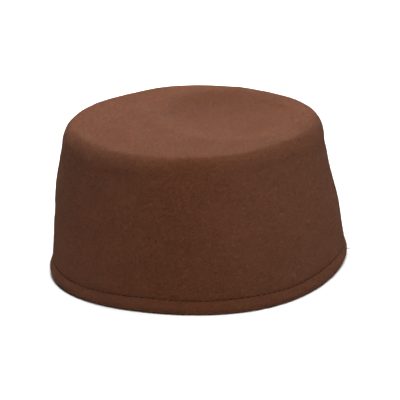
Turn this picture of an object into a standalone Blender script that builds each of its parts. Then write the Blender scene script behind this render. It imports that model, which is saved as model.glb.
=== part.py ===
"""Brimless oval cap of blocked brown wool felt, with a stitched, turned-in hem.

The real cap is one piece of felt, so it is one solid here. X runs across the head, Y from the
front (-Y) to the back (+Y) and Z up. The cap rests on z = 0, with the middle of its hem at the
origin. One ring of vertices is extruded row by row along the felt's cut section: from the middle
of the tip's underside, down the inside of the wall, round the fold of the hem, and back up the
outer face to the middle of the tip.
"""
import math
from functools import partial

import bmesh
import bpy
from mathutils import Vector

# Oval and height, in metres
HEM_WIDTH = 0.1800          # over the soft corners of the hem, side to side
HEM_LENGTH = 0.2175         # over the soft corners of the hem, front to back
RIM_HEIGHT = 0.1075         # foot to the rim of the tip, at the middle of the cap
FELT = 0.0022               # one layer of blocked felt

# How far each wall leans in between the hem and the shoulder
SIDE_DRAFT = 0.0134
FRONT_DRAFT = 0.0108
BACK_DRAFT = 0.0199

# Rounded edge between the wall and the tip: it is tighter at the sides than at the front and back
SIDE_REACH = 0.0080         # of the edge at the sides, measured inwards
SIDE_DROP = 0.0120          # and downwards
END_REACH = 0.0088          # of the edge at the front and back, measured inwards
END_DROP = 0.0180           # and downwards

# Slope of the tip
RIM_FALL = 0.0005           # the rim's fall from the front to the back
RIM_LIFT = 0.0010           # the rim's rise from the -X side to the +X side
TIP_SWELL = 0.0012          # how far the middle of the tip would stand above the rim

# Turned-in hem
HEM_DEPTH = 0.010           # foot to the line of stitches
RAW_EDGE = 0.0032           # line of stitches to the raw edge of the inner layer
BEAD_SWELL = 0.0010         # how far the fold stands proud of the wall
BEAD_HOLLOW = 0.0016        # width of the air space inside the fold
FOOT_WIDTH = 0.0018         # flat ring that the cap rests on
LAYER_GAP = 0.0003          # between the two layers above the fold
STITCH_SINK = 0.0006        # depth of the groove that the stitches pull into the face
INNER_SINK = 0.0004         # depth of the same groove on the inside
GROOVE_HALF = 0.0012        # half the height of the groove

# Hollow pushed into the tip
HOLLOW_DEPTH = 0.0085
HOLLOW_LENGTH = 0.100       # along Y
HOLLOW_WIDTH = 0.098        # along X
HOLLOW_BACK = 0.020         # middle of the hollow, towards the back
HOLLOW_ASIDE = -0.003       # middle of the hollow, along X

# Shape of the oval: it widens a little towards the front, and it has four soft corners, with
# the stretches between them pulled in. The corners are turned a little round the cap.
FRONT_SPREAD = 0.0020       # added to the hem's width in front and taken from it behind
HEM_FLATS = 0.0040
TIP_FLATS = 0.0021
HEM_TWIST = 13              # degrees
TIP_TWIST = -9              # degrees

# The wall between hem and shoulder: share of its height, then the share of each draft there
WALL_COLUMNS = ("height", "side", "front", "back")
WALL = (
    (0.00, 0.00, 0.00, 0.00),
    (0.15, 0.15, 0.16, 0.15),
    (0.30, 0.25, 0.26, 0.25),
    (0.45, 0.38, 0.38, 0.39),
    (0.60, 0.53, 0.47, 0.57),
    (0.75, 0.71, 0.62, 0.755),
    (0.90, 0.87, 0.83, 0.895),
    (1.00, 1.00, 1.00, 1.00),
)

# The hollow from its middle outwards: share of its half-size, then the share of its depth.
# The felt that was pushed down stands up a little as a soft lip outside it.
HOLLOW_COLUMNS = ("reach", "depth")
HOLLOW = (
    (0.00, 1.00),
    (0.25, 0.97),
    (0.50, 0.81),
    (0.72, 0.49),
    (0.90, 0.10),
    (1.02, -0.06),
    (1.22, -0.03),
    (1.50, 0.00),
)

# Face of the fold between its fullest part and the line of stitches: share of the way up, then
# the share of the bead's swell that it has drawn back
FOLD_COLUMNS = ("height", "draw")
FOLD = (
    (0.00, 0.00),
    (0.52, 0.35),
    (0.88, 0.85),
)

# Rows of faces: shares of the wall, degrees round the shoulder and shares of the tip
SEGMENTS = 72
UNDER_WALL = (0.0, 0.25, 0.5, 0.75, 1.0)
UNDER_SHOULDER = (30, 60, 90)
UNDER_TIP = (0.85, 0.68, 0.5, 0.32, 0.15)
FACE_WALL = tuple(row[0] for row in WALL)
FACE_SHOULDER = (25, 48, 70, 90)
FACE_TIP = (0.93, 0.86, 0.79, 0.72, 0.65, 0.58, 0.5, 0.42, 0.34, 0.26, 0.18, 0.1)

BEAD_WIDTH = 2 * FELT + BEAD_HOLLOW
BEAD_CORNER = (BEAD_WIDTH - FOOT_WIDTH) / 2
BEAD_MIDDLE = HEM_DEPTH / 2
WALL_START = HEM_DEPTH + GROOVE_HALF
WALL_RISE = RIM_HEIGHT - (SIDE_DROP + END_DROP) / 2 - WALL_START
EDGE_SHARE = (HEM_DEPTH + RAW_EDGE - WALL_START) / WALL_RISE
TIP_LENGTH = HEM_LENGTH - FRONT_DRAFT - BACK_DRAFT - 2 * (BEAD_SWELL + END_REACH)
TIP_WIDTH = HEM_WIDTH - 2 * (SIDE_DRAFT + BEAD_SWELL + SIDE_REACH)


def clear_scene():
    """Remove whatever the scene holds."""
    for item in list(bpy.data.objects):
        bpy.data.objects.remove(item, do_unlink=True)


def smooth_value(table, columns, name, share):
    """Read a column of a table at a share of its first column, along a smooth curve."""
    column = columns.index(name)
    places = [row[0] for row in table]
    values = [row[column] for row in table]
    share = min(max(share, places[0]), places[-1])
    last = len(places) - 1
    index = 0
    while index < last - 1 and share > places[index + 1]:
        index += 1

    def slope(i):
        low, high = max(i - 1, 0), min(i + 1, last)
        return (values[high] - values[low]) / (places[high] - places[low])

    span = places[index + 1] - places[index]
    f = (share - places[index]) / span
    start, end = values[index], values[index + 1]
    bend = f * (1 - f) * ((1 - f) * slope(index) - f * slope(index + 1)) * span
    return start + (end - start) * f * f * (3 - 2 * f) + bend


def section_point(angle, share):
    """Point of the plain oval, in plan, at a share of the wall's height."""
    side = SIDE_DRAFT * smooth_value(WALL, WALL_COLUMNS, "side", share)
    front = FRONT_DRAFT * smooth_value(WALL, WALL_COLUMNS, "front", share)
    back = BACK_DRAFT * smooth_value(WALL, WALL_COLUMNS, "back", share)
    half_width = HEM_WIDTH / 2 - side
    half_length = (HEM_LENGTH - front - back) / 2
    middle = (front - back) / 2
    x = half_width * math.cos(angle) * (1 - FRONT_SPREAD / HEM_WIDTH * math.sin(angle))
    y = half_length * math.sin(angle) + middle
    return Vector((x, y))


def flats_pull(angle, share):
    """How far the oval is pulled in between its soft corners."""
    hem = HEM_FLATS * math.sin(2 * (angle - math.radians(HEM_TWIST))) ** 2
    tip = TIP_FLATS * math.sin(2 * (angle - math.radians(TIP_TWIST))) ** 2
    return hem + (tip - hem) * share


def inset_point(angle, share, inset):
    """Point of the oval with its corners and flats, moved inwards, square to it."""
    nudge = 0.001
    along = section_point(angle + nudge, share) - section_point(angle - nudge, share)
    inwards = Vector((-along.y, along.x)).normalized()
    return section_point(angle, share) + inwards * (inset + flats_pull(angle, share))


def shoulder_size(angle):
    """How far the rounded edge reaches inwards, and how far it drops."""
    end = math.sin(angle) ** 2
    reach = SIDE_REACH + (END_REACH - SIDE_REACH) * end
    return reach, SIDE_DROP + (END_DROP - SIDE_DROP) * end


def rim_plane(spot):
    """Height of the sloping plane that the rim of the tip lies in."""
    return RIM_HEIGHT - RIM_FALL * spot.y / TIP_LENGTH + RIM_LIFT * spot.x / TIP_WIDTH


def hollow_depth(spot):
    """How far the hollow lowers the tip at a point in plan."""
    reach_x = (spot.x - HOLLOW_ASIDE) / (HOLLOW_WIDTH / 2)
    reach_y = (spot.y - HOLLOW_BACK) / (HOLLOW_LENGTH / 2)
    reach = math.hypot(reach_x, reach_y)
    return HOLLOW_DEPTH * smooth_value(HOLLOW, HOLLOW_COLUMNS, "depth", reach)


def tip_height(spot, reach):
    """Height of the tip's face; reach runs from 0 in the middle to 1 at the rim."""
    return rim_plane(spot) + TIP_SWELL * (1 - reach ** 2) - hollow_depth(spot)


def hem_point(angle, height, inset):
    """Point of the hem's section, a distance in from the fold's fullest line."""
    spot = inset_point(angle, 0, inset)
    return Vector((spot.x, spot.y, height))


def wall_point(angle, share, depth):
    """Point of the wall at a share of its height, a depth in from its face."""
    spot = inset_point(angle, share, BEAD_SWELL + depth)
    rise = rim_plane(spot) - shoulder_size(angle)[1] - WALL_START
    return Vector((spot.x, spot.y, WALL_START + rise * share))


def shoulder_point(angle, turn, depth):
    """Point of the shoulder; turn runs from 0 at the wall to a right angle at the tip."""
    reach, drop = shoulder_size(angle)
    spot = inset_point(angle, 1, BEAD_SWELL + reach - (reach - depth) * math.cos(turn))
    fall = (drop - depth) * (1 - math.sin(turn))
    return Vector((spot.x, spot.y, tip_height(spot, 1) - depth - fall))


def tip_point(angle, reach, depth):
    """Point of the tip at a share of the way from its middle to the rim."""
    middle = Vector((0, (FRONT_DRAFT - BACK_DRAFT) / 2))
    rim = inset_point(angle, 1, BEAD_SWELL + shoulder_size(angle)[0])
    spot = middle + (rim - middle) * reach
    return Vector((spot.x, spot.y, tip_height(spot, reach) - depth))


def crown_rows(depth, wall, shoulder, tip):
    """Rows of the wall, shoulder and tip, from the hem upwards, at a depth below the face."""
    rows = [partial(wall_point, share=share, depth=depth) for share in wall]
    rows += [partial(shoulder_point, turn=math.radians(turn), depth=depth) for turn in shoulder]
    rows += [partial(tip_point, reach=reach, depth=depth) for reach in tip]
    return rows


def outline_rows(outline):
    """Rows of the hem from an outline of heights and insets."""
    return [partial(hem_point, height=height, inset=inset) for height, inset in outline]


def fold_outline():
    """Face of the fold from its fullest line up to the stitches, as heights and insets."""
    rise = HEM_DEPTH - BEAD_MIDDLE
    return [(BEAD_MIDDLE + rise * height, BEAD_SWELL * draw) for height, draw in FOLD]


def hem_rows():
    """Rows of the folded hem, from the back of the wall round to its face."""
    wall_back = BEAD_SWELL + FELT
    layer_back = wall_back + LAYER_GAP
    layer_face = layer_back + FELT
    corner = BEAD_CORNER * (1 - math.sin(math.radians(45)))
    air_space = [
        (HEM_DEPTH, wall_back),
        (BEAD_MIDDLE, FELT),
        (FELT, BEAD_WIDTH / 2),
        (BEAD_MIDDLE, BEAD_WIDTH - FELT),
        (HEM_DEPTH, layer_back),
    ]
    raw_edge = [
        partial(wall_point, share=EDGE_SHARE, depth=FELT + LAYER_GAP),
        partial(wall_point, share=EDGE_SHARE, depth=FELT + LAYER_GAP + FELT),
    ]
    inner_face = [
        (HEM_DEPTH, layer_face - INNER_SINK),
        (BEAD_MIDDLE, BEAD_WIDTH),
        (BEAD_CORNER, BEAD_WIDTH),
        (corner, BEAD_WIDTH - corner),
    ]
    foot = [(0, BEAD_WIDTH - BEAD_CORNER), (0, BEAD_CORNER)]
    outer_face = [(corner, corner), (BEAD_CORNER, 0)]
    outer_face += fold_outline()
    outer_face.append((HEM_DEPTH, BEAD_SWELL + STITCH_SINK))
    return outline_rows(air_space) + raw_edge + outline_rows(inner_face + foot + outer_face)


def felt_section():
    """All rows of the felt's cut section, from the tip's underside round to its face."""
    under = crown_rows(FELT, UNDER_WALL, UNDER_SHOULDER, UNDER_TIP)
    face = crown_rows(0, FACE_WALL, FACE_SHOULDER, FACE_TIP)
    return list(reversed(under)) + hem_rows() + face


def extrude_ring(bm, ring):
    """Extrude a ring of vertices and return the new ring in the same order."""
    edges = [bm.edges.get((ring[i - 1], ring[i])) for i in range(len(ring))]
    grown = bmesh.ops.extrude_edge_only(bm, edges=edges)["geom"]
    fresh = {item for item in grown if isinstance(item, bmesh.types.BMVert)}
    return [next(e.other_vert(v) for e in v.link_edges if e.other_vert(v) in fresh) for v in ring]


def place_ring(ring, row):
    """Move a ring of vertices onto a row of the section."""
    for i, vertex in enumerate(ring):
        vertex.co = row(math.tau * i / len(ring))


def close_ring(bm, ring, depth):
    """Close a ring with a fan of faces to the middle of the tip."""
    last = extrude_ring(bm, ring)
    bmesh.ops.pointmerge(bm, verts=last, merge_co=tip_point(0, 0, depth))


def build_felt_crown(material):
    """The whole cap: one felt shell with its hem turned in and up."""
    rows = felt_section()
    bm = bmesh.new()
    first = list(bmesh.ops.create_circle(bm, radius=1, segments=SEGMENTS)["verts"])
    place_ring(first, rows[0])
    ring = first
    for row in rows[1:]:
        ring = extrude_ring(bm, ring)
        place_ring(ring, row)
    close_ring(bm, ring, 0)
    close_ring(bm, first, FELT)
    bmesh.ops.recalc_face_normals(bm, faces=bm.faces)
    mesh = bpy.data.meshes.new("felt_crown")
    bm.to_mesh(mesh)
    bm.free()
    mesh.materials.append(material)
    mesh.shade_smooth()
    crown = bpy.data.objects.new("felt_crown", mesh)
    bpy.context.collection.objects.link(crown)


def felt_material():
    """Matt brown wool felt."""
    material = bpy.data.materials.new("brown_felt")
    material.use_nodes = True
    shader = material.node_tree.nodes["Principled BSDF"]
    shader.inputs["Base Color"].default_value = (0.115, 0.047, 0.027, 1)
    shader.inputs["Roughness"].default_value = 0.95
    shader.inputs["Metallic"].default_value = 0
    return material


def main():
    clear_scene()
    build_felt_crown(felt_material())


main()
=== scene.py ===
# %% [markdown]
# # A brimless felt cap
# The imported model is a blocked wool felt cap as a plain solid: one shell of felt with a hollow in
# its tip and a turned-in hem. This lesson dresses it. The felt is made again with enough vertices
# for its hand-made unevenness and its puckered hem, the stitches and a stray thread end are added,
# loose wool lies on the surface, and every piece gets a finish. Sizes are in metres. X runs across
# the head, Y from the front (-Y) to the back (+Y), Z up, and the cap stands on z = 0.

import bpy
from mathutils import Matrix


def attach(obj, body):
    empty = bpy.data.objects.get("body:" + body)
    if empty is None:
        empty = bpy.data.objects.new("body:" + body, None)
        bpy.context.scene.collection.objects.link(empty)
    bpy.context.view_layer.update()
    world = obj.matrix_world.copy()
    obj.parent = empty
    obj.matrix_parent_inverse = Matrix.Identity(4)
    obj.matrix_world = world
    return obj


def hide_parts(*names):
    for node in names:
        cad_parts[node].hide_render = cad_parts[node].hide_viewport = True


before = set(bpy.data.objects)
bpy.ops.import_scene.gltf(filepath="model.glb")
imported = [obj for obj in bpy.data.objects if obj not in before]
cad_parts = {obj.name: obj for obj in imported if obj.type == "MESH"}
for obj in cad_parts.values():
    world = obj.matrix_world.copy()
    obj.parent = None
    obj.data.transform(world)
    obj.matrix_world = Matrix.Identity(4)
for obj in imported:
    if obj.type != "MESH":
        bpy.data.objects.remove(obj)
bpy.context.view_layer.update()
felt_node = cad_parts["felt_crown"]
print("packed nodes:", sorted(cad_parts))

# %% Modules
import math
import random

import bmesh
import bpy
import numpy as np
from mathutils import Matrix, Vector, noise
from mathutils.bvhtree import BVHTree

# %% [markdown]
# ## Camera
# The viewpoint comes first, because it decides what has to be right. The cap is seen from its +X
# side and a little from its back, from 24 degrees above, through a long lens. The distance and the
# number of pixels to a metre give the focal length, so the outline can be compared with a
# photograph pixel by pixel.

# %% Camera
FRAME_PIXELS = 400
CAMERA_TURN = math.radians(75.24)       # round the cap, from looking along +Y
CAMERA_RISE = math.radians(24.0)        # above the table
CAMERA_DISTANCE = 1.3
PIXELS_TO_METRE = 1413.82               # at the middle of the cap
MIDDLE_HEIGHT = 0.045                   # the point of the cap's axis that is aimed at
MIDDLE_PIXEL = (200.09, 200.98)         # where that point lies in the frame, from its top left
SENSOR_WIDTH = 36                       # millimetres, as Blender's cameras have


def camera_axes():
    """Unit vectors to the right, up and back towards the camera."""
    back = Vector((
        math.sin(CAMERA_TURN) * math.cos(CAMERA_RISE),
        -math.cos(CAMERA_TURN) * math.cos(CAMERA_RISE),
        math.sin(CAMERA_RISE),
    ))
    right = Vector((math.cos(CAMERA_TURN), math.sin(CAMERA_TURN), 0))
    return right, back.cross(right), back


def make_camera():
    """The camera, aimed so that the cap's middle falls on its pixel."""
    right, up, back = camera_axes()
    aside = (FRAME_PIXELS / 2 - MIDDLE_PIXEL[0]) / PIXELS_TO_METRE
    above = (MIDDLE_PIXEL[1] - FRAME_PIXELS / 2) / PIXELS_TO_METRE
    target = Vector((0, 0, MIDDLE_HEIGHT)) + right * aside + up * above
    data = bpy.data.cameras.new("camera")
    data.sensor_width = SENSOR_WIDTH
    data.lens = PIXELS_TO_METRE * CAMERA_DISTANCE * SENSOR_WIDTH / FRAME_PIXELS
    camera = bpy.data.objects.new("camera", data)
    bpy.context.scene.collection.objects.link(camera)
    camera.matrix_world = Matrix((right, up, back)).transposed().to_4x4()
    camera.location = target + back * CAMERA_DISTANCE
    bpy.context.scene.camera = camera
    print("lens", round(data.lens, 1), "mm")


make_camera()

# %% [markdown]
# ## Reading the felt
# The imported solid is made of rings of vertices, from the middle of the tip, over the shoulder and
# down the wall, round the fold of the hem and back up to the middle of the tip's underside. A
# Subdivision Surface would round and shrink the thin fold, so the rings are read instead, and a
# smooth curve is put through them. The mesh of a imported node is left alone: a copy is merged, and
# its rings are walked from one middle to the other.

# %% Read the rings
SAME_PLACE = 1e-6
FAN_EDGES = 30          # only the two middles of the tip have more edges than this


def turn_about(middle, spot):
    """Angle of a point about the upright line through the middle, from +X."""
    return math.atan2(spot.y - middle.y, spot.x - middle.x)


def straight_on(vertex, middle, seen):
    """The neighbour in the next ring that lies at the same angle, or None at the end."""
    others = [edge.other_vert(vertex) for edge in vertex.link_edges]
    fresh = [other for other in others if other not in seen]
    here = turn_about(middle, vertex.co)

    def gap(other):
        return abs(math.remainder(turn_about(middle, other.co) - here, math.tau))

    return min(fresh, key=gap) if fresh else None


def read_rings(node):
    """Every ring of the felt as points, with the middles of the tip's face and underside."""
    bm = bmesh.new()
    bm.from_mesh(node.data)
    bmesh.ops.remove_doubles(bm, verts=bm.verts, dist=SAME_PLACE)
    ends = [vertex for vertex in bm.verts if len(vertex.link_edges) > FAN_EDGES]
    face, under = sorted(ends, key=lambda vertex: -vertex.co.z)
    middle = face.co.copy()
    ring = [edge.other_vert(face) for edge in face.link_edges]
    half_step = math.pi / len(ring)
    ring.sort(key=lambda vertex: (turn_about(middle, vertex.co) + half_step) % math.tau)
    seen = {face, under}
    rings = []
    while ring[0] is not None:
        rings.append([list(vertex.co) for vertex in ring])
        seen.update(ring)
        ring = [straight_on(vertex, middle, seen) for vertex in ring]
    ends = np.array([list(face.co), list(under.co)])
    bm.free()
    return np.array(rings), ends


felt_rings, tip_middles = read_rings(felt_node)
print("rings:", felt_rings.shape[0], "with", felt_rings.shape[1], "vertices each")

# %% [markdown]
# ## Spacing round the cap
# A sewing machine makes stitches of one length, so the new vertices are spaced by length along the
# line of stitches, four to a stitch. A closed curve through a ring is a sum of waves, and a Fourier
# transform gives it exactly, at any place round the ring.

# %% Closed curves
STITCH_COUNT = 150
VERTICES_TO_STITCH = 4
FINE = STITCH_COUNT * VERTICES_TO_STITCH
STITCH_HEIGHT = 0.010           # of the line of stitches above the foot
FOOT_TOUCH = 1e-5


def closed_curve(ring, turns):
    """Points of the smooth closed curve through a ring, at shares of a full turn."""
    waves = np.fft.rfft(ring, axis=0) / len(ring)
    waves[1:] *= 2
    waves[-1] /= 2 if len(ring) % 2 == 0 else 1
    swing = np.exp(2j * math.pi * np.outer(turns, np.arange(len(waves))))
    return (swing @ waves).real


def even_turns(ring, count):
    """Shares of a turn that divide a ring's curve into equal lengths."""
    turns = np.linspace(0, 1, 20 * count + 1)
    steps = np.linalg.norm(np.diff(closed_curve(ring, turns), axis=0), axis=1)
    lengths = np.concatenate([[0], np.cumsum(steps)])
    return np.interp(np.arange(count) / count * lengths[-1], lengths, turns), lengths[-1]


heights = felt_rings[:, :, 2].mean(axis=1)
foot_ring = int(np.argmax(heights < FOOT_TOUCH))
stitch_ring = int(np.argmin(np.abs(heights[:foot_ring] - STITCH_HEIGHT)))
fine_turns, hem_length = even_turns(felt_rings[stitch_ring], FINE)
print("line of stitches:", round(hem_length, 4), "m, pitch", round(hem_length / STITCH_COUNT, 5))

# %% [markdown]
# ## Rows between the rings
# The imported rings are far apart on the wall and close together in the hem. A table says how many
# rows each band of the felt gets between its rings, and how many vertices go round. The hem has
# the most, for its puckers, and the inside the fewest. A Hermite curve that allows for the uneven
# spacing runs through the rings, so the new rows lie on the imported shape.

# %% Bands of the felt
# Band, packed rings in it, rows for each ring, vertices round
BANDS = (
    ("middle of the tip", 3, 2, 75),
    ("tip", 9, 3, 150),
    ("shoulder and wall", 10, 4, 300),
    ("foot of the wall", 1, 8, 600),
    ("line of stitches and fold", 5, 4, 600),
    ("foot and inside of the hem", 8, 2, 300),
    ("raw edge and the slot behind it", 7, 1, 150),
    ("inside of the wall", 8, 2, 150),
    ("underside of the tip", 5, 2, 75),
)
spans = np.linalg.norm(np.diff(felt_rings, axis=0), axis=2).mean(axis=1)


def ring_slope(index):
    """Change of a ring's points for each metre along the section."""
    if index in (0, len(felt_rings) - 1):
        near = min(index, len(spans) - 1)
        return (felt_rings[near + 1] - felt_rings[near]) / spans[near]
    before = (felt_rings[index] - felt_rings[index - 1]) / spans[index - 1]
    after = (felt_rings[index + 1] - felt_rings[index]) / spans[index]
    return (before * spans[index - 1] + after * spans[index]) / (spans[index - 1] + spans[index])


def section_row(index, share, smooth):
    """Ring at a share of the way from one packed ring to the next."""
    start, end = felt_rings[index], felt_rings[index + 1]
    if not smooth:
        return start + (end - start) * share
    rise = share * share * (3 - 2 * share)
    leave = share * (1 - share) ** 2 * spans[index]
    arrive = share * share * (share - 1) * spans[index]
    row = start + (end - start) * rise + ring_slope(index) * leave + ring_slope(index + 1) * arrive
    row[:, 2] = np.maximum(row[:, 2], 0)
    return row


def felt_rows():
    """All rows of the new felt, each with its number of vertices and whether it is outside."""
    rows = []
    index = 0
    for band, ring_count, steps, around in BANDS:
        for ring in range(index, index + ring_count):
            last = ring == len(felt_rings) - 1
            for step in range(1 if last else steps):
                row = felt_rings[ring] if step == 0 else section_row(ring, step / steps, steps > 1)
                rows.append((row, around, ring < foot_ring))
        index += ring_count
    return rows


print("bands hold", sum(band[1] for band in BANDS), "rings")

# %% [markdown]
# ## A hand-made shape
# Felt is blocked wet by hand, so no wall of it is quite even. A slow noise moves both faces of the
# felt together by a fraction of a millimetre, and fades out at the foot, which stays flat. Felt is
# springy too: the seam draws in the wall above it, and the fold below swells out, fullest at half
# its height, so that its upper half faces the light. A short table gives that, and a smooth curve
# reads it. The thread pulls the face in at each stitch, and the felt swells between two stitches
# and just above and below the line, which gives the puckers.

# %% Unevenness and puckers
WOBBLE = 0.0007                 # most that blocking leaves the felt out of true
WOBBLE_LENGTH = 0.045           # from one swelling to the next
BEAD_WOBBLE = 0.00022           # the same for the narrow fold of the hem
BEAD_WOBBLE_LENGTH = 0.011
FIRM_HEIGHT = 0.012             # above this the felt wobbles freely
# Height on the outer face, how far the face moves out there
SEAM_EASE = (
    (0.0000, 0.00000),
    (0.0021, 0.00040),
    (0.0036, 0.00060),
    (0.0050, 0.00045),
    (0.0070, -0.00008),
    (0.0090, -0.00050),
    (0.0100, -0.00030),
    (0.0112, -0.00060),
    (0.0150, -0.00035),
    (0.0240, 0.00000),
)
PUCKER_SINK = 0.00028           # how far a stitch pulls the face in
PUCKER_SWELL = 0.00014          # how far the felt swells between stitches
PUCKER_REACH = 0.0016           # from the line of stitches to where the pull fades
SWELL_OFFSET = 0.0024           # from the line to the fullest part of the swelling beside it


def wobble(points):
    """Hand-made unevenness of points, in metres along each axis."""
    moves = []
    for point in points:
        spot = Vector(point)
        firm = min(1, spot.z / FIRM_HEIGHT)
        slow = noise.noise_vector(spot / WOBBLE_LENGTH) * WOBBLE
        quick = noise.noise_vector(spot / BEAD_WOBBLE_LENGTH) * BEAD_WOBBLE
        moves.append((slow + quick) * firm)
    return np.array([list(move) for move in moves])


def outwards(points):
    """Level unit vectors that point out of a ring."""
    along = np.roll(points, -1, axis=0) - np.roll(points, 1, axis=0)
    out = np.stack([along[:, 1], -along[:, 0], np.zeros(len(points))], axis=1)
    return out / np.linalg.norm(out, axis=1, keepdims=True)


def smooth_read(table, places):
    """Values of a two-column table at some places, along a smooth curve."""
    known, values = np.array(table).T
    slopes = np.gradient(values, known)
    places = np.clip(places, known[0], known[-1])
    index = np.clip(np.searchsorted(known, places) - 1, 0, len(known) - 2)
    span = known[index + 1] - known[index]
    share = (places - known[index]) / span
    rise = share * share * (3 - 2 * share)
    bend = slopes[index] * (1 - share) - slopes[index + 1] * share
    return values[index] + (values[index + 1] - values[index]) * rise + bend * share * (1 - share) * span


def pucker(points):
    """How far the stitches move points of the face of the hem outwards."""
    pull = np.cos(2 * math.pi * (np.arange(len(points)) / VERTICES_TO_STITCH - 0.5))
    off = (points[:, 2] - STITCH_HEIGHT) / PUCKER_REACH
    beside = (np.abs(points[:, 2] - STITCH_HEIGHT) - SWELL_OFFSET) / PUCKER_REACH
    sink = -PUCKER_SINK * (0.55 + 0.45 * pull) * np.exp(-off ** 2)
    swell = PUCKER_SWELL * (0.5 + 0.5 * pull) * np.exp(-beside ** 2)
    return sink + swell


# %% [markdown]
# ## Making the felt
# The shell is extruded ring by ring: each new ring is pulled out of the last one with
# extrude_edge_only and moved to its row. Where the number of vertices changes, a fresh circle is
# bridged to the last ring instead. The two middles are closed with a fan. The felt keeps the shape
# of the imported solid, so it replaces that node.

# %% Make the felt


def ring_edges(bm, ring):
    """Edges of a closed ring of vertices."""
    return [bm.edges.get((ring[i - 1], ring[i])) for i in range(len(ring))]


def extrude_ring(bm, ring):
    """Extrude a ring and give the new ring in the same order."""
    grown = bmesh.ops.extrude_edge_only(bm, edges=ring_edges(bm, ring))["geom"]
    fresh = {item for item in grown if isinstance(item, bmesh.types.BMVert)}
    return [next(e.other_vert(v) for e in v.link_edges if e.other_vert(v) in fresh) for v in ring]


def add_ring(bm, last, points):
    """Put a new ring at some points, joined to the last ring if there is one."""
    if last is not None and len(last) == len(points):
        ring = extrude_ring(bm, last)
    else:
        ring = list(bmesh.ops.create_circle(bm, radius=1, segments=len(points))["verts"])
    for vertex, point in zip(ring, points):
        vertex.co = point
    if last is not None and len(last) != len(points):
        bmesh.ops.bridge_loops(bm, edges=ring_edges(bm, last) + ring_edges(bm, ring))
    return ring


def close_ring(bm, ring, middle):
    """Close a ring with a fan to one point."""
    last = extrude_ring(bm, ring)
    bmesh.ops.pointmerge(bm, verts=last, merge_co=middle)


def link_piece(name, bm, material=None, stands_for=None):
    """Turn a bmesh into a smooth piece that rides on the cap's one body."""
    mesh = bpy.data.meshes.new(name)
    bm.to_mesh(mesh)
    bm.free()
    mesh.shade_smooth()
    piece = bpy.data.objects.new(name, mesh)
    bpy.context.scene.collection.objects.link(piece)
    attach(piece, "root")
    if stands_for:
        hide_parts(stands_for)
    mesh.calc_loop_triangles()
    print(name, "has", len(mesh.loop_triangles), "triangles")
    return piece


def make_felt():
    """The felt of the cap, and the points of its line of stitches outside."""
    bm = bmesh.new()
    first = last = None
    stitch_line = None
    for row, around, outside in felt_rows():
        points = closed_curve(row, fine_turns[::FINE // around])
        out = outwards(points)
        if outside:
            points += out * smooth_read(SEAM_EASE, points[:, 2])[:, None]
        if around == FINE:
            points += out * pucker(points)[:, None]
        points += wobble(points)
        if stitch_line is None and abs(row[:, 2].mean() - STITCH_HEIGHT) < FOOT_TOUCH:
            stitch_line = points.copy()
        last = add_ring(bm, last, points)
        first = first or last
    close_ring(bm, last, Vector(tip_middles[1] + wobble(tip_middles[1:])[0]))
    close_ring(bm, first, Vector(tip_middles[0] + wobble(tip_middles[:1])[0]))
    bmesh.ops.recalc_face_normals(bm, faces=bm.faces)
    return link_piece("felt_cap", bm, stands_for="felt_crown"), stitch_line


def face_tree(mesh):
    """The faces of a mesh, sorted so that the nearest one is found fast."""
    corners = [vertex.co for vertex in mesh.vertices]
    return BVHTree.FromPolygons(corners, [face.vertices[:] for face in mesh.polygons])


felt_cap, stitch_line = make_felt()
felt_tree = face_tree(felt_cap.data)

# %% [markdown]
# ## Stitches
# One thread holds the turned-in hem: it shows as short dashes sunk in a groove, outside, and again
# between them inside. Its dark colour is partly the thread's own brown and partly painted shade of
# the stitch holes. A stitch is a two-ply thread that arches out of the felt and dives back in.
# It is extruded once, with few faces because it is repeated hundreds of times, and a copy is
# turned and moved to each place on the line. The copies stay one piece, as the thread is.

# %% Thread
THREAD = 0.00065                # thickness
THREAD_SIDES = 8
PLY_DENT = 0.16                 # how much thinner the thread is between its two plies
PLY_TURN = math.radians(38)     # twist from one row to the next


def thread_ring(spot, along, turn, thickness, sides):
    """Points round a two-ply thread at one place on its way."""
    side = along.cross(Vector((0, 0, 1))).normalized()
    above = side.cross(along).normalized()
    points = []
    for i in range(sides):
        angle = math.tau * i / sides
        radius = thickness / 2 * (1 - PLY_DENT * math.sin(angle - turn) ** 2)
        points.append(spot + (side * math.cos(angle) + above * math.sin(angle)) * radius)
    return points


def add_thread(bm, path, thickness, sides=THREAD_SIDES):
    """A closed length of thread along a path."""
    first = last = None
    for i in range(1, len(path) - 1):
        along = (path[i + 1] - path[i - 1]).normalized()
        last = add_ring(bm, last, thread_ring(path[i], along, PLY_TURN * i, thickness, sides))
        first = first or last
    close_ring(bm, last, path[-1])
    close_ring(bm, first, path[0])
    bmesh.ops.recalc_face_normals(bm, faces=bm.faces)


# %% One stitch
STITCH_SHOWN = 0.0030           # length of thread from hole to hole
STITCH_RISE = 0.00012           # of the thread's middle above the groove
STITCH_DIVE = 0.0008            # depth that its ends reach in the felt
STITCH_POINTS = 9


def stitch_mesh():
    """One stitch along X, with Z pointing out of the felt."""
    bm = bmesh.new()
    path = []
    for i in range(STITCH_POINTS):
        share = 2 * i / (STITCH_POINTS - 1) - 1
        path.append(Vector((share * STITCH_SHOWN / 2, 0, STITCH_RISE - STITCH_DIVE * share ** 4)))
    add_thread(bm, path, THREAD)
    mesh = bpy.data.meshes.new("stitch")
    bm.to_mesh(mesh)
    bm.free()
    return mesh


# %% The hem's stitches
SEED = 11
STITCH_LEAN = math.radians(3)   # most that a stitch leans off its line
STITCH_STRETCH = 0.07           # most that its length differs, as a share
chance = random.Random(SEED)


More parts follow.
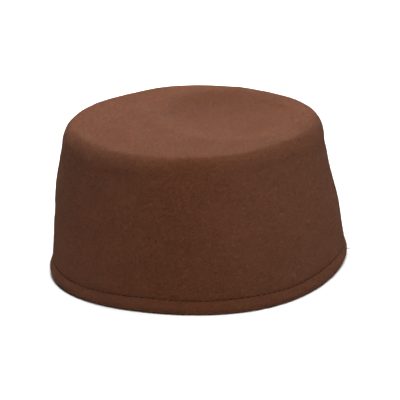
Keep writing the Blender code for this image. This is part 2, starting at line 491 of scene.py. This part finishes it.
def place_stitch(bm, mesh, spot, along, out):
    """Put a copy of the stitch on the felt, a little off true."""
    known = len(bm.verts)
    bm.from_mesh(mesh)
    bm.verts.ensure_lookup_table()
    lean = Matrix.Rotation(chance.uniform(-STITCH_LEAN, STITCH_LEAN), 4, "Z")
    stretch = Matrix.Diagonal((1 + chance.uniform(-STITCH_STRETCH, STITCH_STRETCH), 1, 1, 1))
    frame_axes = Matrix((along, out.cross(along), out)).transposed().to_4x4()
    place = Matrix.Translation(spot) @ frame_axes @ lean @ stretch
    bmesh.ops.transform(bm, matrix=place, verts=bm.verts[known:])


def sew(bm, mesh, points, start, facing):
    """Sew along a ring of points, one stitch to every few, facing out (1) or in (-1)."""
    out = outwards(points) * facing
    for i in range(start, len(points), VERTICES_TO_STITCH):
        along = Vector(points[(i + 1) % len(points)] - points[i - 1]).normalized()
        place_stitch(bm, mesh, Vector(points[i]), along, Vector(out[i]))


def make_stitches():
    """All stitches of the hem: dashes outside, and inside where the outside has its gaps."""
    bm = bmesh.new()
    stitch = stitch_mesh()
    inner_ring = foot_ring + int(np.argmax(heights[foot_ring:] > STITCH_HEIGHT - FOOT_TOUCH))
    inner_line = closed_curve(felt_rings[inner_ring], fine_turns)
    inner_line += wobble(inner_line)
    sew(bm, stitch, stitch_line, VERTICES_TO_STITCH // 2, 1)
    sew(bm, stitch, inner_line, 0, -1)
    bpy.data.meshes.remove(stitch)
    return link_piece("hem_stitches", bm)


hem_stitches = make_stitches()

# %% [markdown]
# ## Thread end
# A short end of pale thread was left at the back of the hem, where the sewing started. It comes
# out of the fold half way up and sticks straight out, slightly bent by its own twist. It is far
# too short to hang, so it is a small closed piece like a stitch, and not a cord.

# %% Thread end
TAIL_TURN = 0.211               # place round the hem, as a share of a turn from +X
TAIL_HEIGHT = 0.0052            # where it comes out of the fold
TAIL_LENGTH = 0.0030
TAIL_ROOT = 0.0012              # depth at which it starts in the felt
TAIL_BEND = 0.0003
TAIL_THREAD = 0.00055
TAIL_POINTS = 9
TAIL_LOOK = 0.02                # how far outside the seam the felt is looked for


def make_thread_end():
    """The stray end of thread at the back of the hem."""
    seam = closed_curve(felt_rings[stitch_ring], [TAIL_TURN])[0]
    out = camera_axes()[0]
    start = Vector((seam[0], seam[1], TAIL_HEIGHT)) + out * TAIL_LOOK
    root = felt_tree.ray_cast(start, -out)[0]
    aside = out.cross(Vector((0, 0, 1)))
    path = []
    for i in range(TAIL_POINTS):
        share = i / (TAIL_POINTS - 1)
        reach = (TAIL_LENGTH + TAIL_ROOT) * share - TAIL_ROOT
        path.append(root + out * reach + aside * math.sin(math.pi * share) * TAIL_BEND)
    bm = bmesh.new()
    add_thread(bm, path, TAIL_THREAD)
    return link_piece("thread_end", bm)


thread_end = make_thread_end()

# %% [markdown]
# ## Nap
# Blocked felt keeps some loose wool: short fibres that lie on its face, rooted at both ends. They
# are what breaks its outline and gives it a bloom. A hair system would do, but exported meshes need
# real faces. So a few fibres are extruded with three sides each, and numpy lays thousands of bent
# copies on the felt and joins them. Each point of a copy takes the height of the felt under it.

# %% Nap
NAP_COUNT = 8000
NAP_SHAPES = 10
NAP_LENGTH = (0.0018, 0.0048)
NAP_THICKNESS = 0.00009
NAP_RISE = 0.00022              # of the middle of a fibre above the felt
NAP_ROOT = 0.00012              # depth of its ends in the felt
NAP_CURL = 0.28                 # most that it bends aside, as a share of its length
NAP_SPREAD = 0.75               # most that it turns off level, radians, for two in three
NAP_POINTS = 5
LOWEST_NAP = 0.0015             # above the foot
FREE_REACH = 0.001              # step off the felt before looking for felt in the way


def nap_shape(length, curl):
    """Corners and faces of one fibre along X that bends towards Y and rises towards Z."""
    bm = bmesh.new()
    path = []
    for i in range(NAP_POINTS):
        share = 2 * i / (NAP_POINTS - 1) - 1
        arch = 1 - share ** 2
        rise = NAP_RISE * arch - NAP_ROOT * (1 - arch)
        path.append(Vector((share * length / 2, curl * length * arch, rise)))
    add_thread(bm, path, NAP_THICKNESS, sides=3)
    corners = np.array([list(vertex.co) for vertex in bm.verts])
    bm.verts.index_update()
    faces = [[vertex.index for vertex in face.verts] for face in bm.faces]
    bm.free()
    return corners, faces


def nap_places(mesh):
    """Random places on the outside of the felt, with the way out of it."""
    triangles = mesh.loop_triangles
    areas = np.array([triangle.area for triangle in triangles])
    picks = np.random.default_rng(SEED)
    places = []
    while len(places) < NAP_COUNT:
        for index in picks.choice(len(areas), NAP_COUNT, p=areas / areas.sum()):
            shares = picks.dirichlet((1, 1, 1))
            corners = [mesh.vertices[i].co for i in triangles[index].vertices]
            spot = sum((corner * share for corner, share in zip(corners, shares)), Vector())
            out = triangles[index].normal.copy()
            inside = spot.z < LOWEST_NAP or out.z < -0.5
            if inside or felt_tree.ray_cast(spot + out * FREE_REACH, out)[0] is not None:
                continue
            places.append((spot, out))
            if len(places) == NAP_COUNT:
                break
    return places


def make_nap():
    """Loose wool fibres on the outside of the felt."""
    shapes = []
    for _ in range(NAP_SHAPES):
        shapes.append(nap_shape(chance.uniform(*NAP_LENGTH), chance.uniform(-NAP_CURL, NAP_CURL)))
    corners, faces = [], []
    for spot, out in nap_places(felt_cap.data):
        shape, shape_faces = chance.choice(shapes)
        across = out.cross(Vector((0, 0, 1)))
        if across.length < 0.5:
            across = Vector((0, 1, 0)) - out * out.y
        across.normalize()
        along = Matrix.Rotation(chance.gauss(0, NAP_SPREAD), 3, out) @ across
        aside = out.cross(along)
        known = len(corners)
        for x, y, z in shape:
            foot, normal = felt_tree.find_nearest(spot + along * x + aside * y)[:2]
            corners.append(foot + normal * z)
        faces += [[known + i for i in face] for face in shape_faces]
    nap = bpy.data.meshes.new("nap")
    nap.from_pydata(corners, [], faces)
    bm = bmesh.new()
    bm.from_mesh(nap)
    bpy.data.meshes.remove(nap)
    bmesh.ops.recalc_face_normals(bm, faces=bm.faces)
    return link_piece("nap", bm)


nap = make_nap()

# %% [markdown]
# ## Effects that finishes share
# Felt and thread are the same wool fibres in other forms, so their finishes share two effects. One
# is the slow change of tone that dyed wool has. The other is the grain of single fibres. A noise
# that is stretched one way crosses its middle value along thin curled lines, and several layers of
# those lines, turned against each other, look like matted fibres. Below them a round noise gives
# pits between the fibres, darkened with painted shade, and a few pale flecks. The raised fibre lines
# also get a faint painted highlight. Each effect is a node group with named inputs, built once, and
# placed in each material with its own values.

# %% Node helpers


def put(tree, kind, sockets=None, **settings):
    """A node with its settings; each named socket gets a value or a link."""
    node = tree.nodes.new(kind)
    for name, value in settings.items():
        setattr(node, name, value)
    for name, value in (sockets or {}).items():
        if isinstance(value, bpy.types.NodeSocket):
            tree.links.new(value, node.inputs[name])
        else:
            node.inputs[name].default_value = value
    return node


def sums(tree, operation, first, second):
    """Output of a Math node."""
    return put(tree, "ShaderNodeMath", {0: first, 1: second}, operation=operation).outputs[0]


def blend_colour(tree, share, first, second, blend_type="MIX"):
    """Output of a colour Mix node; its colour sockets come after those for other kinds."""
    node = put(tree, "ShaderNodeMix", data_type="RGBA", blend_type=blend_type)
    for index, value in ((0, share), (6, first), (7, second)):
        if isinstance(value, bpy.types.NodeSocket):
            tree.links.new(value, node.inputs[index])
        else:
            node.inputs[index].default_value = value
    return node.outputs[2]


def new_group(name, inputs, outputs):
    """An empty node group with named sockets, and its input and output nodes."""
    group = bpy.data.node_groups.new(name, "ShaderNodeTree")
    for socket, kind, value in inputs:
        made = group.interface.new_socket(socket, in_out="INPUT", socket_type=kind)
        if value is not None:
            made.default_value = value
    for socket in outputs:
        group.interface.new_socket(socket, in_out="OUTPUT", socket_type="NodeSocketFloat")
    return group, group.nodes.new("NodeGroupInput"), group.nodes.new("NodeGroupOutput")


# %% Wool tone
def make_tone_group():
    """Slow change of tone over dyed wool, from 0 to 1."""
    group, source, result = new_group(
        "wool tone",
        [
            ("Place", "NodeSocketVector", None),
            ("Patch size", "NodeSocketFloat", 0.02),
            ("Contrast", "NodeSocketFloat", 1.5),
        ],
        ["Tone"],
    )
    scale = sums(group, "DIVIDE", 1, source.outputs["Patch size"])
    patches = put(group, "ShaderNodeTexNoise", {
        "Vector": source.outputs["Place"],
        "Scale": scale,
        "Detail": 4.0,
        "Roughness": 0.55,
        "Distortion": 0.4,
    })
    centred = sums(group, "SUBTRACT", patches.outputs["Fac"], 0.5)
    stretched = sums(group, "MULTIPLY", centred, source.outputs["Contrast"])
    tone = put(group, "ShaderNodeMath", {0: stretched, 1: 0.5}, operation="ADD", use_clamp=True)
    group.links.new(tone.outputs[0], result.inputs["Tone"])
    return group


tone_group = make_tone_group()

# %% Wool grain
# Turn of each layer of fibres about X, Y and Z, in degrees
FIBRE_LAYERS = ((0, 0, 8), (0, 0, 70), (68, 0, 25), (0, 72, -35))
FIBRE_BEND = 1.3
LINE_WIDTH = 0.045              # of a fibre, in the noise's own measure
LINE_SHARE = 0.55               # of the relief that the fibres make; the rest is the felt below


def wool_noise(group, place, scale, detail, roughness):
    """Noise with curled shapes, as felted wool has."""
    return put(group, "ShaderNodeTexNoise", {
        "Vector": place,
        "Scale": scale,
        "Detail": detail,
        "Roughness": roughness,
        "Distortion": FIBRE_BEND,
    }).outputs["Fac"]


def fibre_layer(group, source, turns):
    """Thin curved lines, like fibres that lie mostly one way."""
    laid = put(group, "ShaderNodeMapping", {
        "Vector": source.outputs["Place"],
        "Rotation": [math.radians(turn) for turn in turns],
    }, vector_type="POINT")
    across = sums(group, "DIVIDE", 1, source.outputs["Fibre width"])
    share = sums(group, "DIVIDE", source.outputs["Fibre width"], source.outputs["Fibre length"])
    squeeze = put(group, "ShaderNodeCombineXYZ", {"X": share, "Y": 1.0, "Z": 1.0})
    drawn = put(group, "ShaderNodeVectorMath", {
        0: laid.outputs["Vector"],
        1: squeeze.outputs["Vector"],
    }, operation="MULTIPLY")
    swirl = wool_noise(group, drawn.outputs["Vector"], across, 1.0, 0.5)
    off = put(group, "ShaderNodeMath", {0: swirl, 1: 0.5}, operation="SUBTRACT")
    off = put(group, "ShaderNodeMath", {0: off.outputs[0]}, operation="ABSOLUTE")
    return put(group, "ShaderNodeMapRange", {
        "Value": off.outputs[0],
        "From Min": 0.0,
        "From Max": LINE_WIDTH,
        "To Min": 1.0,
        "To Max": 0.0,
    }, interpolation_type="SMOOTHSTEP").outputs["Result"]


def make_grain_group():
    """Height of matted fibres; masks of painted shade in the pits, and of pale flecks plus painted fibre
    highlight.
    """
    group, source, result = new_group(
        "wool grain",
        [
            ("Place", "NodeSocketVector", None),
            ("Fibre length", "NodeSocketFloat", 0.003),
            ("Fibre width", "NodeSocketFloat", 0.0005),
            ("Pit size", "NodeSocketFloat", 0.0012),
            ("Pit share", "NodeSocketFloat", 0.5),
            ("Fleck share", "NodeSocketFloat", 0.1),
        ],
        ["Height", "Pit shade", "Fleck and highlight"],
    )
    lines = fibre_layer(group, source, FIBRE_LAYERS[0])
    for turns in FIBRE_LAYERS[1:]:
        lines = sums(group, "MAXIMUM", lines, fibre_layer(group, source, turns))
    scale = sums(group, "DIVIDE", 1, source.outputs["Pit size"])
    ground = wool_noise(group, source.outputs["Place"], scale, 3.0, 0.65)
    height = sums(group, "MULTIPLY", lines, LINE_SHARE)
    group.links.new(sums(group, "ADD", height, ground), result.inputs["Height"])
    # Pits lie where the ground noise, and so the relief, is lowest; they get painted shade in place of
    # shadow
    low = sums(group, "MULTIPLY", source.outputs["Pit share"], 0.2)
    pit_shade = put(group, "ShaderNodeMapRange", {
        "Value": ground,
        "From Min": 0.33,
        "From Max": sums(group, "ADD", low, 0.34),
        "To Min": 1.0,
        "To Max": 0.0,
    })
    group.links.new(pit_shade.outputs["Result"], result.inputs["Pit shade"])
    edge = sums(group, "SUBTRACT", 0.75, source.outputs["Fleck share"])
    fleck = put(group, "ShaderNodeMapRange", {
        "Value": ground,
        "From Min": edge,
        "From Max": sums(group, "ADD", edge, 0.12),
    })
    # A quarter of the fibre lines is added as painted highlight on the raised fibres, beside the pale
    # flecks
    fleck_and_highlight = sums(group, "MAXIMUM", fleck.outputs["Result"], sums(group, "MULTIPLY", lines, 0.25))
    group.links.new(fleck_and_highlight, result.inputs["Fleck and highlight"])
    return group


grain_group = make_grain_group()

# %% [markdown]
# ## Finishes
# Wool felt is matt and soft: almost all of its light is scattered by loose fibres, so it has no
# gloss, and its edges turn paler where the eye looks along the nap. That is what the sheen of the
# Principled shader is for. It is one value all over, so it is set on the shader's own socket.

# %% Felt and thread finishes
WOOL_DARK = (0.114, 0.0365, 0.0165, 1)
WOOL_LIGHT = (0.146, 0.0480, 0.0220, 1)
# Painted shade: the colour that the pits between fibres get in place of their shadow
WOOL_PIT_SHADE = (0.062, 0.0185, 0.0080, 1)
# Pale wool flecks, and the painted highlight along the raised fibres
WOOL_FLECK_AND_HIGHLIGHT = (0.250, 0.1000, 0.0520, 1)
NAP_TINT = (1.0, 0.93, 0.85, 1)
NAP_DARK = (0.090, 0.0290, 0.0135, 1)
NAP_LIGHT = (0.240, 0.0900, 0.0450, 1)
# Dark brown of the thread, partly its own colour and partly painted shade of the stitch holes
THREAD_BROWN_AND_HOLE_SHADE = (0.042, 0.0150, 0.0078, 1)
THREAD_BROWN_LIGHT = (0.066, 0.0240, 0.0126, 1)
THREAD_PALE = (0.120, 0.1100, 0.0800, 1)
THREAD_PALE_LIGHT = (0.200, 0.1900, 0.1450, 1)


def wool_material(name, dark, light, pit_shade, fleck, patch, fibre, relief, sheen, roughness):
    """A wool finish: two tones in patches, fibres in relief, pale flecks, painted pit shade and fibre
    highlight.
    """
    material = bpy.data.materials.new(name)
    material.use_nodes = True
    tree = material.node_tree
    shader = tree.nodes["Principled BSDF"]
    place = put(tree, "ShaderNodeTexCoord").outputs["Object"]
    tone = put(tree, "ShaderNodeGroup", node_tree=tone_group)
    tree.links.new(place, tone.inputs["Place"])
    tone.inputs["Patch size"].default_value = patch
    grain = put(tree, "ShaderNodeGroup", node_tree=grain_group)
    tree.links.new(place, grain.inputs["Place"])
    grain.inputs["Fibre length"].default_value = fibre * 5
    grain.inputs["Fibre width"].default_value = fibre
    grain.inputs["Pit size"].default_value = fibre
    colour = blend_colour(tree, tone.outputs["Tone"], dark, light)
    # Painted shade in the pits between the fibres
    colour = blend_colour(tree, grain.outputs["Pit shade"], colour, pit_shade)
    # Pale flecks, and painted highlight on the raised fibres
    colour = blend_colour(tree, grain.outputs["Fleck and highlight"], colour, fleck)
    tree.links.new(colour, shader.inputs["Base Color"])
    bump = put(tree, "ShaderNodeBump", {
        "Height": grain.outputs["Height"],
        "Strength": 1.0,
        "Distance": relief,
    })
    tree.links.new(bump.outputs["Normal"], shader.inputs["Normal"])
    shader.inputs["Roughness"].default_value = roughness
    shader.inputs["Specular IOR Level"].default_value = 0
    shader.inputs["Sheen Weight"].default_value = sheen
    shader.inputs["Sheen Roughness"].default_value = 0.3
    shader.inputs["Sheen Tint"].default_value = NAP_TINT
    return material


felt_finish = wool_material(
    "brown felt", WOOL_DARK, WOOL_LIGHT, WOOL_PIT_SHADE, WOOL_FLECK_AND_HIGHLIGHT, patch=0.018, fibre=0.0016,
    relief=0.0006, sheen=0.11, roughness=0.95,
)
thread_finish = wool_material(
    "brown thread", THREAD_BROWN_AND_HOLE_SHADE, THREAD_BROWN_LIGHT, THREAD_BROWN_AND_HOLE_SHADE, THREAD_BROWN_LIGHT,
    patch=0.004, fibre=0.0002, relief=0.00005, sheen=0.02, roughness=0.7,
)
nap_finish = wool_material(
    "loose wool", NAP_DARK, NAP_LIGHT, NAP_DARK, NAP_LIGHT, patch=0.003, fibre=0.0002,
    relief=0.00001, sheen=0.05, roughness=0.9,
)
tail_finish = wool_material(
    "pale thread", THREAD_PALE, THREAD_PALE_LIGHT, THREAD_PALE, THREAD_PALE_LIGHT,
    patch=0.001, fibre=0.0002, relief=0.00005, sheen=0.02, roughness=0.7,
)
for piece, finish in (
    (felt_cap, felt_finish),
    (hem_stitches, thread_finish),
    (thread_end, tail_finish),
    (nap, nap_finish),
):
    piece.data.materials.append(finish)

# %% [markdown]
# ## Floor and light
# The cap stands on a plain, nearly white floor that fades into the background. Three soft lights
# stand for a small studio. The key hangs over the front and makes the tip twice as bright as the
# wall. One hangs over the back, and one stands low behind the cap, where it brushes the nap and
# picks out the lip of the hollow. They are close, so the wall is brighter near its top. The floor
# throws light back at the wall, so no other fill is needed than a weak pale surround.

# %% Floor
FLOOR_SIZE = 8.0
FLOOR_WHITE = (0.90, 0.90, 0.90, 1)
FLOOR_WARM = (0.88, 0.88, 0.87, 1)


def make_floor():
    """A plain pale floor with a hint of tone in it."""
    bm = bmesh.new()
    bmesh.ops.create_grid(bm, x_segments=1, y_segments=1, size=FLOOR_SIZE / 2)
    mesh = bpy.data.meshes.new("floor")
    bm.to_mesh(mesh)
    bm.free()
    floor = bpy.data.objects.new("floor", mesh)
    bpy.context.scene.collection.objects.link(floor)
    material = bpy.data.materials.new("floor")
    material.use_nodes = True
    tree = material.node_tree
    shader = tree.nodes["Principled BSDF"]
    place = put(tree, "ShaderNodeTexCoord").outputs["Object"]
    tone = put(tree, "ShaderNodeGroup", node_tree=tone_group)
    tree.links.new(place, tone.inputs["Place"])
    tone.inputs["Patch size"].default_value = 0.5
    colour = blend_colour(tree, tone.outputs["Tone"], FLOOR_WHITE, FLOOR_WARM)
    tree.links.new(colour, shader.inputs["Base Color"])
    shader.inputs["Roughness"].default_value = 0.9
    shader.inputs["Specular IOR Level"].default_value = 0.1
    mesh.materials.append(material)


make_floor()

# %% Lights
LIT_MIDDLE = Vector((0, 0, 0.06))
LIGHT_DISTANCE = 0.75
LIGHT_SIZE = 0.5
# Light, degrees round from the camera towards the right, degrees above the table, watts
LIGHTS = (
    ("key", 24, 70, 7.8),
    ("over the back", 210, 55, 4.1),
    ("low behind", 180, 10, 10.0),
)
SURROUND = 0.02


def make_lights():
    """Soft area lights round the cap, and a pale surround."""
    right, up, back = camera_axes()
    level_back = Vector((back.x, back.y, 0)).normalized()
    for name, turn, rise, watts in LIGHTS:
        turn, rise = math.radians(turn), math.radians(rise)
        level = level_back * math.cos(turn) + right * math.sin(turn)
        towards = level * math.cos(rise) + Vector((0, 0, math.sin(rise)))
        data = bpy.data.lights.new(name, "AREA")
        data.shape = "DISK"
        data.size = LIGHT_SIZE
        data.energy = watts
        light = bpy.data.objects.new(name, data)
        light.location = LIT_MIDDLE + towards * LIGHT_DISTANCE
        light.rotation_euler = (-towards).to_track_quat("-Z", "Y").to_euler()
        light.visible_camera = False
        bpy.context.scene.collection.objects.link(light)
    world = bpy.data.worlds.new("surround")
    world.use_nodes = True
    world.node_tree.nodes["Background"].inputs["Color"].default_value = (1, 1, 1, 1)
    world.node_tree.nodes["Background"].inputs["Strength"].default_value = SURROUND
    bpy.context.scene.world = world
    bpy.context.scene.view_settings.view_transform = "Standard"


make_lights()
